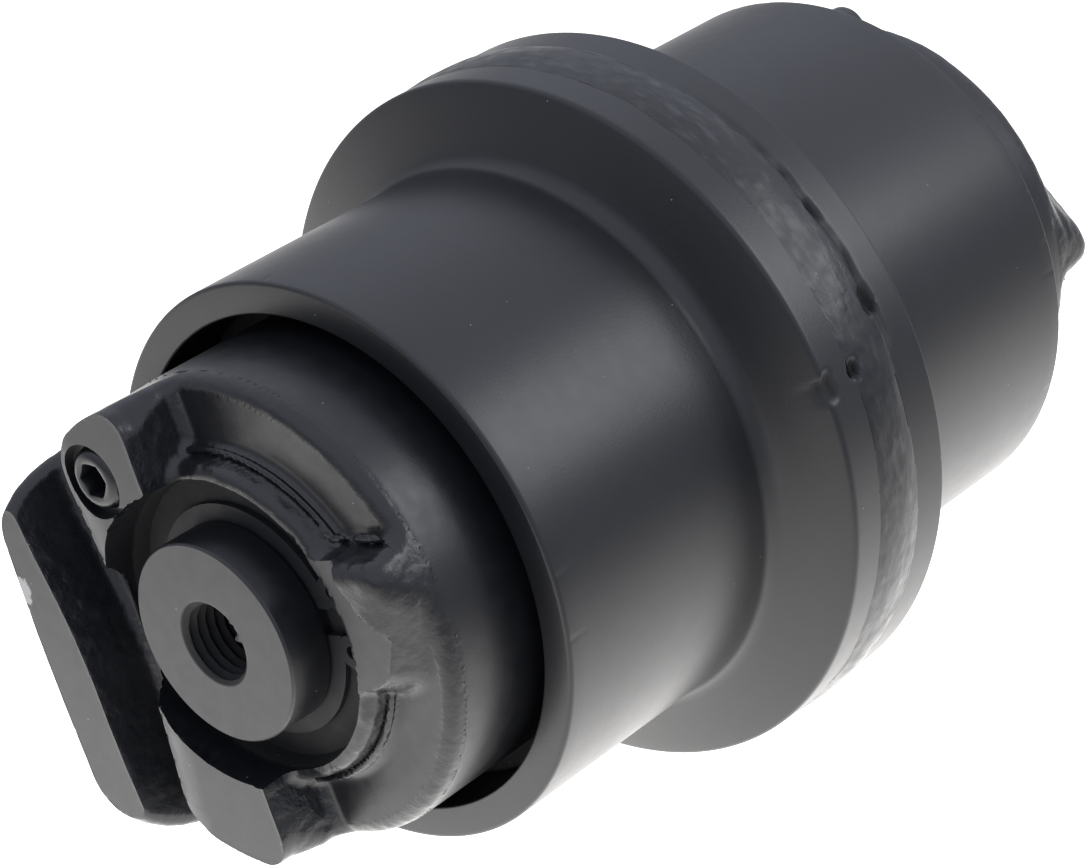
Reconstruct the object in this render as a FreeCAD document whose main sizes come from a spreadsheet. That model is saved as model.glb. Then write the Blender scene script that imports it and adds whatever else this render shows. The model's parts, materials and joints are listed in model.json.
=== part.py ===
import FreeCAD, Part
import math
import os
import Sketcher
from FreeCAD import Placement, Rotation, Vector

# Centre-flange track roller: a shell turning on a fixed axle between two end collars.
# Millimetres. Y runs along the axle, the middle of the roller is at the origin, and the
# "near" end is the one at -Y. The collars, pins and axle are drawn with the collar rib
# towards -X and are then turned about the axle by collar_turn.

os.makedirs("parts", exist_ok=True)
doc = FreeCAD.newDocument("TrackRoller")

# ---------------------------------------------------------------- driving dimensions

SIZES = [
    # shell: two welded halves
    ("tread_radius", 55.0, "running surface"),
    ("tread_end", 72.8, "where the end chamfer starts, from the middle"),
    ("shell_end", 74.1, "end face of the shell, from the middle"),
    ("flange_radius", 69.9, "centre flange"),
    ("flange_edge", 13.2, "half width of the flange rim"),
    ("flange_edge_break", 0.9, "broken edge of the rim"),
    ("flange_root", 18.4, "where the root fillet meets the flange side"),
    ("root_fillet", 3.5, "radius of the flange root"),
    ("weld_half_width", 4.0, "half width of the weld groove at the rim"),
    ("weld_root", 62.0, "radius at the bottom of the weld groove"),
    ("weld_crown", 0.7, "height of the bead over the rim"),
    ("mouth_radius", 48.7, "bore that takes the collar skirt"),
    ("mouth_floor", 60.3, "bottom of that bore, from the middle"),
    ("reservoir_radius", 28.0, "oil space between the bushings"),
    ("reservoir_end", 14.0, "end of the oil space, from the middle"),
    # bushings
    ("journal_radius", 20.5, "axle where the bushings run"),
    ("running_clearance", 0.05, "between axle and bushing, on the radius"),
    ("bushing_radius", 24.5, "outside of the bushing"),
    ("bushing_end", 53.1, "thrust face of the bushing, from the middle"),
    ("thrust_flange_radius", 31.0, "bushing flange"),
    ("thrust_flange_seat", 50.0, "seat of that flange in the shell, from the middle"),
    ("end_float", 0.2, "play between thrust face and collar hub"),
    # face seals
    ("seal_plane", 61.9, "where the two seal rings meet, from the middle"),
    ("seal_gap", 0.1, "between the two seal faces"),
    ("seal_bore", 29.5, "inside of a seal ring"),
    ("seal_rim", 37.5, "outside of the seal face"),
    ("seal_body", 33.4, "shoulder that carries the toric ring"),
    ("seal_body_small", 32.8, "the same at its back end"),
    ("seal_length", 7.65, "one seal ring, along the axle"),
    ("seal_face_thickness", 2.25, "rim of the seal ring"),
    ("toric_radius", 35.55, "centre line of a toric ring"),
    ("toric_section", 2.25, "half its thickness"),
    ("toric_from_plane", 5.3, "its place behind the seal plane"),
    ("seal_seat_mouth", 39.0, "seal housing at its mouth"),
    ("seal_seat_back", 37.2, "seal housing at its back"),
    ("seal_seat_depth", 53.2, "back of the housing in the shell, from the middle"),
    # collars
    ("collar_turn", -23.6, "turn of both collars about the axle, degrees"),
    ("skirt_radius", 45.0, "round body of a collar"),
    ("skirt_inner_end", 61.5, "collar skirt inside the shell mouth, from the middle"),
    ("skirt_shoulder", 89.6, "where the rounded shoulder starts, from the middle"),
    ("shoulder_round", 3.0, "radius of that shoulder"),
    ("dish_plane", 92.6, "face around the boss ring, from the middle"),
    ("ring_lip", 98.0, "face of the boss ring, from the middle"),
    ("ring_lip_radius", 30.2, "outside of its face"),
    ("ring_foot_radius", 31.9, "outside of its foot"),
    ("pocket_radius", 28.0, "machined pocket around the axle end"),
    ("pocket_floor", 94.0, "floor of that pocket, from the middle"),
    ("hub_radius", 27.0, "collar hub inside the seals"),
    ("collar_seat_back", 71.0, "back of the seal housing in the collar, from the middle"),
    ("ring_groove_radius", 21.9, "groove for the axle ring seal"),
    ("ring_groove_near", 65.8, "its inner side, from the middle"),
    ("ring_groove_far", 69.2, "its outer side, from the middle"),
    ("collar_bore", 19.25, "bore over the axle end"),
    ("lug_left", 25.0, "flank edge of the lugs, across from the axle"),
    ("plug_lug_right", 4.5, "inner edge of the lug with the plug"),
    ("plain_lug_right", 0.6, "inner edge of the other lug"),
    ("rib_outer", 51.0, "flat outer side of the rib, from the axle"),
    ("rib_inner", 41.5, "inner edge of the rib face"),
    ("rib_short_end", 27.0, "rib end beside the plug"),
    ("rib_long_end", 40.0, "the other rib end"),
    ("root_short_end", 31.0, "rib root beside the plug"),
    ("root_long_end", 44.5, "the other end of the rib root"),
    ("rib_corner", 8.0, "corner cut of the rib"),
    ("rib_back", 80.0, "back of the rib, from the middle"),
    ("groove_floor_left", 39.0, "groove between rib and lugs, at its floor"),
    ("groove_floor_right", 35.0, "the same, on the lug side"),
    ("knob_centre", 30.5, "rounded knob across from the rib"),
    ("knob_radius", 13.5, "its radius"),
    ("knob_face", 101.0, "its top, from the middle"),
    ("knob_land", 98.5, "machined land on the knob beside the pocket, from the middle"),
    # oil plug and its port
    ("plug_across", 18.2, "plug axis from the axle, towards the rib"),
    ("plug_up", 30.8, "plug axis from the axle, along the rib"),
    ("port_recess_radius", 7.1, "recess around the plug"),
    ("port_recess_floor", 102.4, "floor of that recess, from the middle"),
    ("port_radius", 6.0, "tapped port"),
    ("port_floor", 88.0, "bottom of the port, from the middle"),
    ("plug_radius", 5.95, "oil plug"),
    ("plug_length", 12.5, "oil plug"),
    ("plug_face", 104.7, "face of the plug, from the middle"),
    ("hex_flats", 6.0, "socket, across flats"),
    ("hex_depth", 5.0, "socket"),
    ("passage_radius", 2.0, "oil passage behind the plug"),
    # axle
    ("axle_end", 104.9, "end face of the axle, from the middle"),
    ("axle_end_radius", 19.2, "axle through the collars"),
    ("axle_end_chamfer", 0.8, "edge of the end face"),
    ("axle_shoulder", 53.3, "where the thicker journal starts, from the middle"),
    ("relief_radius", 18.5, "waist of the axle in the oil space"),
    ("relief_end", 12.0, "end of the waist, from the middle"),
    ("thread_wall", 7.0, "wall of the tapped hole"),
    ("thread_mouth", 8.6, "countersink of the tapped hole"),
    ("thread_depth", 32.0, "tapped hole"),
    ("clip_groove_radius", 18.0, "groove of the retaining ring"),
    ("clip_thickness", 1.2, "retaining ring"),
    ("clip_radius", 22.3, "its outside"),
    ("clip_gap", 5.0, "its opening"),
    ("clip_eye_centre", 23.6, "its two eyes, from the axle"),
    ("clip_eye_radius", 3.2, "outside of an eye"),
    # lock pins
    ("pin_radius", 3.98, "lock pin"),
    ("pin_hole_radius", 4.0, "its hole"),
    ("pin_plane", 84.0, "pin axis, from the middle"),
    ("pin_outer", 44.0, "outer end of the pin, from the axle"),
    ("pin_inner", 12.6, "inner end of the pin, from the axle"),
    # axle ring seals
    ("ring_seal_radius", 20.55, "centre line"),
    ("ring_seal_section", 1.25, "half its thickness"),
]

sheet = doc.addObject("Spreadsheet::Sheet", "Sizes")
for row, (alias, value, note) in enumerate(SIZES, start=1):
    sheet.set(f"A{row}", alias)
    sheet.set(f"B{row}", str(value))
    sheet.setAlias(f"B{row}", alias)
    sheet.set(f"C{row}", note)
doc.recompute()


class Size:
    """A number together with the expression that gives it from the sheet."""

    def __init__(self, value, text):
        self.value = value
        self.text = text

    def __add__(self, other):
        other = as_size(other)
        return Size(self.value + other.value, f"({self.text} + {other.text})")

    def __sub__(self, other):
        other = as_size(other)
        return Size(self.value - other.value, f"({self.text} - {other.text})")

    def __mul__(self, other):
        other = as_size(other)
        return Size(self.value * other.value, f"({self.text} * {other.text})")

    def __neg__(self):
        return self * -1

    def root(self):
        return Size(math.sqrt(self.value), f"sqrt({self.text})")


def as_size(number):
    return number if isinstance(number, Size) else Size(float(number), f"({number})")


def size(alias):
    return Size(float(sheet.get(alias)), f"Sizes.{alias}")


def bind(feature, name, amount):
    """Set a property to a size and keep it bound to the sheet."""
    amount = as_size(amount)
    feature.setExpression(name, amount.text)


# ---------------------------------------------------------------- sketches and features

def new_body(name):
    body = doc.addObject("PartDesign::Body", name)
    body.Label = name
    return body


def origin_plane(body, role):
    return next(item for item in body.Origin.OriginFeatures if item.Role == role)


def new_sketch(body, name, role, offset=None, flip=False):
    """A sketch on one of the body's own origin planes, moved along its normal by offset."""
    sketch = body.newObject("Sketcher::SketchObject", name)
    sketch.AttachmentSupport = [(origin_plane(body, role), "")]
    sketch.MapMode = "FlatFace"
    if offset is not None:
        distance = as_size(offset)
        sketch.AttachmentOffset = Placement(Vector(0, 0, distance.value), Rotation())
        sketch.setExpression("AttachmentOffset.Base.z", distance.text)
    return sketch


def arc_between(start, end, radius, turn):
    """The shorter arc from start to end; turn is 1 for anticlockwise and -1 for clockwise."""
    chord = end - start
    middle = (start + end) * 0.5
    side = Vector(-chord.y, chord.x, 0).normalize()
    rise = math.sqrt(max(radius * radius - (chord.Length / 2) ** 2, 0.0))
    centre = middle + side * rise * turn
    bulge = centre + (middle - centre).normalize() * radius
    if rise < 1e-6:
        bulge = middle - side * radius * turn
    return Part.Arc(start, bulge, end)


def draw_outline(sketch, corners):
    """A closed outline through corners (x, y) or (x, y, radius, turn) where an arc leaves."""
    corners = [tuple(corner) for corner in corners]
    places = [Vector(as_size(c[0]).value, as_size(c[1]).value, 0) for c in corners]
    for i, corner in enumerate(corners):
        start, end = places[i], places[(i + 1) % len(places)]
        if len(corner) == 4:
            sketch.addGeometry(arc_between(start, end, as_size(corner[2]).value, corner[3]), False)
        else:
            sketch.addGeometry(Part.LineSegment(start, end), False)
    first_point, last_point = [], []
    for i, corner in enumerate(corners):
        # an arc is stored anticlockwise, so a clockwise one has its end points swapped
        swapped = len(corner) == 4 and corner[3] < 0
        first_point.append(2 if swapped else 1)
        last_point.append(1 if swapped else 2)
    for i in range(len(corners)):
        after = (i + 1) % len(corners)
        sketch.addConstraint(
            Sketcher.Constraint("Coincident", i, last_point[i], after, first_point[after])
        )
    for i, corner in enumerate(corners):
        for axis, amount in (("X", as_size(corner[0])), ("Y", as_size(corner[1]))):
            place = Sketcher.Constraint("Distance" + axis, -1, 1, i, first_point[i], amount.value)
            number = sketch.addConstraint(place)
            sketch.renameConstraint(number, f"corner{i}{axis.lower()}")
            sketch.setExpression(f"Constraints.corner{i}{axis.lower()}", amount.text)
        if len(corner) == 4:
            radius = as_size(corner[2])
            number = sketch.addConstraint(Sketcher.Constraint("Radius", i, radius.value))
            sketch.renameConstraint(number, f"arc{i}")
            sketch.setExpression(f"Constraints.arc{i}", radius.text)


def draw_circle(sketch, x, y, radius):
    x, y, radius = as_size(x), as_size(y), as_size(radius)
    circle = Part.Circle(Vector(x.value, y.value, 0), Vector(0, 0, 1), radius.value)
    number = sketch.addGeometry(circle, False)
    for kind, name, amount in (("DistanceX", "across", x), ("DistanceY", "up", y)):
        index = sketch.addConstraint(Sketcher.Constraint(kind, -1, 1, number, 3, amount.value))
        sketch.renameConstraint(index, name)
        sketch.setExpression(f"Constraints.{name}", amount.text)
    index = sketch.addConstraint(Sketcher.Constraint("Radius", number, radius.value))
    sketch.renameConstraint(index, "radius")
    sketch.setExpression("Constraints.radius", radius.text)


def turned(name, corners):
    """A body turned about the axle from an outline of (along the axle, radius) corners."""
    body = new_body(name)
    sketch = new_sketch(body, name + "_profile", "YZ_Plane")
    draw_outline(sketch, corners)
    turn = body.newObject("PartDesign::Revolution", name + "_turn")
    turn.Profile = sketch
    turn.ReferenceAxis = (sketch, ["H_Axis"])
    turn.Angle = 360
    sketch.Visibility = False
    doc.recompute()
    return body


def extrude(body, kind, name, sketch, length, expected):
    """A Pad or Pocket of the sketch; expected says which way it must go along Y or X."""
    feature = body.newObject("PartDesign::" + kind, name)
    feature.Profile = sketch
    bind(feature, "Length", length)
    before = 0.0 if body.Shape.isNull() else body.Shape.Volume
    doc.recompute()
    for attempt in range(2):
        change = feature.Shape.Volume - before
        grows = kind == "Pad"
        reach = feature.Shape.BoundBox
        if (change > 1.0 if grows else change < -1.0) and expected(reach, change):
            break
        feature.Reversed = not feature.Reversed
        doc.recompute()
    sketch.Visibility = False
    return feature


def any_way(box, change):
    return True


def turn_with_collars(thing, half_turn=False):
    """Turn a piece about the axle with the collars, for the far end after half a turn."""
    collar_turn = size("collar_turn").value
    rotation = Rotation(Vector(0, 1, 0), collar_turn)
    if half_turn:
        rotation = rotation.multiply(Rotation(Vector(1, 0, 0), 180))
    thing.Placement = Placement(Vector(0, 0, 0), rotation).multiply(thing.Placement)


# ---------------------------------------------------------------- shell and bushings

def shell_half(name, end):
    """One half of the roller shell; end is -1 for the near half and 1 for the far one."""
    def at(alias):
        return size(alias) * end

    edge_break = size("flange_edge_break")
    rim = size("flange_radius")
    fillet = size("root_fillet")
    tread = size("tread_radius")
    root = size("flange_root")
    chamfer = size("shell_end") - size("tread_end")
    corners = [
        (at("shell_end"), size("mouth_radius")),
        (at("shell_end"), tread - chamfer),
        (at("tread_end"), tread),
        ((root + fillet) * end, tread, fillet, -end),
        (at("flange_root"), tread + fillet),
        ((size("flange_edge") + edge_break * 0.6) * end, rim - edge_break),
        (at("flange_edge"), rim),
        (at("weld_half_width"), rim),
        (0, size("weld_root")),
        (0, size("reservoir_radius")),
        (at("reservoir_end"), size("reservoir_radius")),
        (at("reservoir_end"), size("bushing_radius")),
        (at("thrust_flange_seat"), size("bushing_radius")),
        (at("thrust_flange_seat"), size("thrust_flange_radius") + 0.1),
        (at("seal_seat_depth"), size("thrust_flange_radius") + 0.1),
        (at("seal_seat_depth"), size("seal_seat_back")),
        (at("mouth_floor"), size("seal_seat_mouth")),
        (at("mouth_floor"), size("mouth_radius")),
    ]
    return turned(name, corners)


def weld_bead(name):
    rim = size("flange_radius")
    width = size("weld_half_width")
    crown = rim + size("weld_crown")
    corners = [
        (-width, rim),
        (0, size("weld_root")),
        (width, rim),
        (width * 0.5, crown),
        (-width * 0.5, crown),
    ]
    return turned(name, corners)


def bushing(name, end):
    def at(alias):
        return size(alias) * end

    bore = size("journal_radius") + size("running_clearance")
    corners = [
        (at("bushing_end"), bore),
        (at("bushing_end"), size("thrust_flange_radius")),
        (at("thrust_flange_seat"), size("thrust_flange_radius")),
        (at("thrust_flange_seat"), size("bushing_radius")),
        ((size("reservoir_end") + 0.5) * end, size("bushing_radius")),
        ((size("reservoir_end") + 0.5) * end, bore),
    ]
    return turned(name, corners)


# ---------------------------------------------------------------- seals

def seal_ring(name, end, away):
    """One metal seal ring; away is 1 on the collar side of the seal plane and -1 inside."""
    def behind(distance):
        return (size("seal_plane") + (size("seal_gap") * 0.5 + distance) * away) * end

    corners = [
        (behind(0), size("seal_bore")),
        (behind(0), size("seal_rim")),
        (behind(size("seal_face_thickness")), size("seal_rim")),
        (behind(size("seal_face_thickness") + 1), size("seal_body")),
        (behind(size("seal_length")), size("seal_body_small")),
        (behind(size("seal_length")), size("seal_bore")),
    ]
    return turned(name, corners)


def rubber_ring(name, along, radius, section):
    ring = doc.addObject("Part::Torus", name)
    ring.Label = name
    bind(ring, "Radius1", radius)
    bind(ring, "Radius2", section)
    ring.Placement = Placement(Vector(0, along.value, 0), Rotation(Vector(1, 0, 0), 90))
    ring.setExpression("Placement.Base.y", along.text)
    return ring


def toric_ring(name, end, away):
    along = (size("seal_plane") + size("toric_from_plane") * away) * end
    return rubber_ring(name, along, size("toric_radius"), size("toric_section"))


def axle_ring_seal(name, end):
    along = (size("ring_groove_near") + size("ring_groove_far")) * 0.5 * end
    return rubber_ring(name, along, size("ring_seal_radius"), size("ring_seal_section"))


# ---------------------------------------------------------------- axle and its small parts

def axle(name):
    def half(end):
        """Outline of one end, from the tip of its tapped hole to the waist."""
        tip = size("axle_end") - size("thread_depth")
        mouth = size("axle_end") - (size("thread_mouth") - size("thread_wall"))
        chamfer = size("axle_end_chamfer")
        groove_near = size("pocket_floor")
        groove_far = groove_near + size("clip_thickness") + 0.1
        return [
            ((tip - 4) * end, 0),
            (tip * end, size("thread_wall")),
            (mouth * end, size("thread_wall")),
            (size("axle_end") * end, size("thread_mouth")),
            (size("axle_end") * end, size("axle_end_radius") - chamfer),
            ((size("axle_end") - chamfer) * end, size("axle_end_radius")),
            (groove_far * end, size("axle_end_radius")),
            (groove_far * end, size("clip_groove_radius")),
            (groove_near * end, size("clip_groove_radius")),
            (groove_near * end, size("axle_end_radius")),
            (size("axle_shoulder") * end, size("axle_end_radius")),
            (size("axle_shoulder") * end, size("journal_radius")),
            ((size("relief_end") + 2) * end, size("journal_radius")),
            (size("relief_end") * end, size("relief_radius")),
        ]

    body = turned(name, half(-1) + list(reversed(half(1))))
    for end, side in ((-1, "near"), (1, "far")):
        hole = body.newObject("PartDesign::SubtractiveCylinder", f"{name}_pin_hole_{side}")
        bind(hole, "Radius", size("pin_hole_radius"))
        bind(hole, "Height", 20)
        # the hole runs out towards -X from just past the inner end of the pin
        hole.Placement = Placement(
            Vector(-size("pin_inner").value + 0.1, size("pin_plane").value * end, 0),
            Rotation(Vector(0, 1, 0), -90),
        )
        hole.setExpression("Placement.Base.x", "0.1 - Sizes.pin_inner")
        hole.setExpression("Placement.Base.y", f"Sizes.pin_plane * {end}")
        doc.recompute()
    turn_with_collars(body)
    return body


def retaining_ring(name, end):
    """An open ring in the axle groove, with two eyes at its gap towards the knob."""
    inner = size("pocket_floor") + 0.05
    outer = inner + size("clip_thickness")
    corners = [
        (inner * -1, size("clip_groove_radius") + 0.05),
        (outer * -1, size("clip_groove_radius") + 0.05),
        (outer * -1, size("clip_radius")),
        (inner * -1, size("clip_radius")),
    ]
    body = turned(name, corners)
    for way, place in ((1, "upper"), (-1, "lower")):
        eye = new_sketch(body, f"{name}_eye_{place}", "XZ_Plane", inner)
        across = (size("clip_gap") * 0.5 + size("clip_eye_radius")) * way
        draw_circle(eye, size("clip_eye_centre"), across, size("clip_eye_radius"))
        extrude(body, "Pad", f"{name}_eye_pad_{place}", eye, size("clip_thickness"), inside_pocket)
        hole = new_sketch(body, f"{name}_hole_{place}", "XZ_Plane", outer)
        draw_circle(hole, size("clip_eye_centre"), across, 1.25)
        extrude(body, "Pocket", f"{name}_hole_cut_{place}", hole, size("clip_thickness"), any_way)
    gap = new_sketch(body, f"{name}_gap", "XZ_Plane", outer)
    half_gap = size("clip_gap") * 0.5
    draw_outline(gap, [(14, -half_gap), (30, -half_gap), (30, half_gap), (14, half_gap)])
    extrude(body, "Pocket", f"{name}_gap_cut", gap, size("clip_thickness"), any_way)
    turn_with_collars(body, half_turn=end > 0)
    return body


def inside_pocket(box, change):
    """True while everything stays between the pocket floor and the face of the ring."""
    floor = size("pocket_floor").value
    return -floor - size("clip_thickness").value - 0.1 < box.YMin and box.YMax < -floor


def lock_pin(name, end):
    pin = doc.addObject("Part::Cylinder", name)
    pin.Label = name
    bind(pin, "Radius", size("pin_radius"))
    bind(pin, "Height", size("pin_outer") - size("pin_inner"))
    pin.Placement = Placement(
        Vector(-size("pin_inner").value, -size("pin_plane").value, 0), Rotation(Vector(0, 1, 0), -90)
    )
    turn_with_collars(pin, half_turn=end > 0)
    return pin


def oil_plug(name):
    body = new_body(name)
    round_sketch = new_sketch(body, name + "_round", "XZ_Plane", size("plug_face"))
    draw_circle(round_sketch, -size("plug_across"), size("plug_up"), size("plug_radius"))
    extrude(body, "Pad", name + "_pad", round_sketch, size("plug_length"), behind_plug_face)
    socket = new_sketch(body, name + "_socket", "XZ_Plane", size("plug_face"))
    corner = size("hex_flats") * (1 / math.sqrt(3))
    corners = []
    for step in range(6):
        angle = math.radians(60 * step + 12)
        across = corner * round(math.cos(angle), 6) - size("plug_across")
        up = corner * round(math.sin(angle), 6) + size("plug_up")
        corners.append((across, up))
    draw_outline(socket, corners)
    extrude(body, "Pocket", name + "_socket_cut", socket, size("hex_depth"), any_way)
    blank = body.Tip
    rim = edges_of_circle(blank, -size("plug_face").value, size("plug_radius").value)
    crown = body.newObject("PartDesign::Chamfer", name + "_crown")
    crown.Base = (blank, rim)
    crown.Size = 0.9
    doc.recompute()
    turn_with_collars(body)
    return body


def behind_plug_face(box, change):
    return box.YMin > -size("plug_face").value - 0.1


def edges_of_circle(feature, along, radius):
    """Names of the circular edges of this radius at this place along the axle."""
    names = []
    for number, edge in enumerate(feature.Shape.Edges, start=1):
        curve = edge.Curve
        if isinstance(curve, Part.Circle) and abs(curve.Radius - radius) < 1e-4:
            if abs(curve.Center.y - along) < 1e-4:
                names.append(f"Edge{number}")
    return names


# ---------------------------------------------------------------- collars

def collar(name, end, with_port):
    """An end collar, drawn for the near end. The far one has had half a turn about X."""
    def at(alias):
        return size(alias) * -1

    round_edge = size("shoulder_round")
    skirt = size("skirt_radius")
    body = turned(name, [
        (at("pocket_floor"), size("collar_bore")),
        (at("pocket_floor"), size("pocket_radius")),
        (at("ring_lip"), size("pocket_radius")),
        (at("ring_lip"), size("ring_lip_radius")),
        (at("dish_plane"), size("ring_foot_radius")),
        (at("dish_plane"), skirt - round_edge, round_edge, -1),
        (at("skirt_shoulder"), skirt),
        (at("skirt_inner_end"), skirt),
        (at("skirt_inner_end"), size("seal_seat_mouth")),
        (at("collar_seat_back"), size("seal_seat_back")),
        (at("collar_seat_back"), size("hub_radius")),
        (at("axle_shoulder"), size("hub_radius")),
        (at("axle_shoulder"), size("collar_bore")),
        (at("ring_groove_near"), size("collar_bore")),
        (at("ring_groove_near"), size("ring_groove_radius")),
        (at("ring_groove_far"), size("ring_groove_radius")),
        (at("ring_groove_far"), size("collar_bore")),
    ])
    add_saddle(body, name)
    add_rib_root(body, name)
    add_knob(body, name)
    cut_groove(body, name)
    cut_pocket(body, name)
    cut_pin_hole(body, name)
    if with_port:
        cut_oil_port(body, name)
    turn_with_collars(body, half_turn=end > 0)
    return body


def up_to_axle_end(box, change):
    return box.YMin > -size("axle_end").value - 0.1


def add_saddle(body, name):
    """Rib and lugs in one outline, from the end plane back into the dish."""
    skirt = size("skirt_radius")

    def on_skirt(across):
        """Height of the round body at this distance across."""
        return (skirt * skirt - across * across).root()

    left, plug_side, plain_side = size("lug_left"), size("plug_lug_right"), size("plain_lug_right")
    corner = size("rib_corner")
    sketch = new_sketch(body, name + "_saddle", "XZ_Plane", size("axle_end"))
    draw_outline(sketch, [
        (-size("rib_outer"), size("rib_short_end") - corner),
        (-size("rib_outer"), -(size("rib_long_end") - corner), corner, 1),
        (-(size("rib_outer") - corner), -size("rib_long_end")),
        (-left, -on_skirt(left), skirt, 1),
        (-plain_side, -on_skirt(plain_side)),
        (-plain_side, 0),
        (-plug_side, 0),
        (-plug_side, on_skirt(plug_side), skirt, 1),
        (-left, on_skirt(left)),
        (-size("rib_inner"), size("rib_short_end")),
        (-(size("rib_outer") - corner), size("rib_short_end"), corner, 1),
    ])
    depth = size("axle_end") - size("dish_plane") + 1
    extrude(body, "Pad", name + "_saddle_pad", sketch, depth, up_to_axle_end)


def add_rib_root(body, name):
    """The part of the rib behind the groove, joined to the round body."""
    sketch = new_sketch(body, name + "_rib_root", "XZ_Plane", size("dish_plane"))
    corner = size("rib_corner")
    left, skirt = size("lug_left"), size("skirt_radius")
    draw_outline(sketch, [
        (-size("rib_outer"), size("root_short_end") - corner),
        (-size("rib_outer"), -(size("root_long_end") - corner), corner, 1),
        (-(size("rib_outer") - corner), -size("root_long_end")),
        (-left, -(skirt * skirt - left * left).root()),
        (-left, size("root_short_end")),
        (-(size("rib_outer") - corner), size("root_short_end"), corner, 1),
    ])
    depth = size("dish_plane") - size("rib_back")
    extrude(body, "Pad", name + "_rib_root_pad", sketch, depth, up_to_axle_end)


def add_knob(body, name):
    sketch = new_sketch(body, name + "_knob", "XZ_Plane", size("knob_face"))
    draw_circle(sketch, size("knob_centre"), 0, size("knob_radius"))
    depth = size("knob_face") - size("dish_plane") + 1
    extrude(body, "Pad", name + "_knob_pad", sketch, depth, up_to_axle_end)
    land = new_sketch(body, name + "_knob_land", "XZ_Plane", size("knob_face"))
    draw_outline(land, [(33.3, 13.5), (43.6, -1.5), (46, -16), (15, -16), (15, 16), (31, 16)])
    depth = size("knob_face") - size("knob_land")
    extrude(body, "Pocket", name + "_knob_land_cut", land, depth, any_way)


def cut_groove(body, name):
    """The slanted groove that leaves the rib standing beside the lugs."""
    sketch = new_sketch(body, name + "_groove", "XY_Plane", -60)
    top = size("axle_end") + 1
    draw_outline(sketch, [
        (-size("rib_inner"), -top),
        (-size("groove_floor_left"), -size("dish_plane")),
        (-size("groove_floor_right"), -size("dish_plane")),
        (-size("lug_left"), -size("axle_end")),
        (-size("lug_left"), -top),
    ])
    extrude(body, "Pocket", name + "_groove_cut", sketch, 120, any_way)


def cut_pocket(body, name):
    sketch = new_sketch(body, name + "_pocket", "XZ_Plane", size("axle_end"))
    draw_circle(sketch, 0, 0, size("pocket_radius"))
    depth = size("axle_end") - size("pocket_floor")
    extrude(body, "Pocket", name + "_pocket_cut", sketch, depth, any_way)
    bore = new_sketch(body, name + "_bore", "XZ_Plane", size("pocket_floor"))
    draw_circle(bore, 0, 0, size("collar_bore"))
    extrude(body, "Pocket", name + "_bore_cut", bore, 4, any_way)


def cut_pin_hole(body, name):
    hole = body.newObject("PartDesign::SubtractiveCylinder", name + "_pin_hole")
    bind(hole, "Radius", size("pin_hole_radius"))
    bind(hole, "Height", 60)
    hole.Placement = Placement(
        Vector(-10, -size("pin_plane").value, 0), Rotation(Vector(0, 1, 0), -90)
    )
    hole.setExpression("Placement.Base.y", "-Sizes.pin_plane")
    doc.recompute()


def cut_oil_port(body, name):
    """Recess and tapped port in the lug, and the slanted passage into the seal space."""
    for step, radius, start, floor in (
        ("recess", "port_recess_radius", "axle_end", "port_recess_floor"),
        ("port", "port_radius", "port_recess_floor", "port_floor"),
    ):
        sketch = new_sketch(body, f"{name}_{step}", "XZ_Plane", size(start))
        draw_circle(sketch, -size("plug_across"), size("plug_up"), size(radius))
        depth = size(start) - size(floor)
        extrude(body, "Pocket", f"{name}_{step}_cut", sketch, depth, any_way)
    across, up = -size("plug_across").value, size("plug_up").value
    outward = Vector(across, 0, up)
    start = outward + Vector(0, -size("port_floor").value - 2, 0)
    inner = size("hub_radius").value + size("passage_radius").value - 0.6
    end = outward.normalize() * inner + Vector(0, 1.5 - size("collar_seat_back").value, 0)
    passage = body.newObject("PartDesign::SubtractiveCylinder", name + "_passage")
    bind(passage, "Radius", size("passage_radius"))
    bind(passage, "Height", (end - start).Length)
    passage.Placement = Placement(start, Rotation(Vector(0, 0, 1), end - start))
    doc.recompute()


# ---------------------------------------------------------------- the whole roller

pieces = []
for end, side in ((-1, "near"), (1, "far")):
    pieces.append(shell_half(f"shell_half_{side}", end))
    pieces.append(bushing(f"bushing_{side}", end))
    pieces.append(seal_ring(f"rotating_seal_ring_{side}", end, -1))
    pieces.append(seal_ring(f"static_seal_ring_{side}", end, 1))
    pieces.append(toric_ring(f"rotating_toric_{side}", end, -1))
    pieces.append(toric_ring(f"static_toric_{side}", end, 1))
    pieces.append(axle_ring_seal(f"axle_ring_seal_{side}", end))
    pieces.append(collar(f"collar_{side}", end, with_port=end < 0))
    pieces.append(retaining_ring(f"retaining_ring_{side}", end))
    pieces.append(lock_pin(f"lock_pin_{side}", end))
pieces.append(weld_bead("centre_weld_bead"))
pieces.append(axle("axle"))
pieces.append(oil_plug("oil_plug"))
doc.recompute()

for item in doc.Objects:
    if "Invalid" in item.State or "Error" in item.State:
        raise RuntimeError(f"{item.Label} did not build: {item.State}")
for piece in pieces:
    if piece.Shape.isNull() or not piece.Shape.isValid() or len(piece.Shape.Solids) != 1:
        raise RuntimeError(f"{piece.Label} is not one sound solid")
    piece.Shape.exportStep(f"parts/{piece.Label}.step")
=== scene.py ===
import json
import math
from itertools import product

import bpy
import numpy as np
from mathutils import Matrix, Vector


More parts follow.
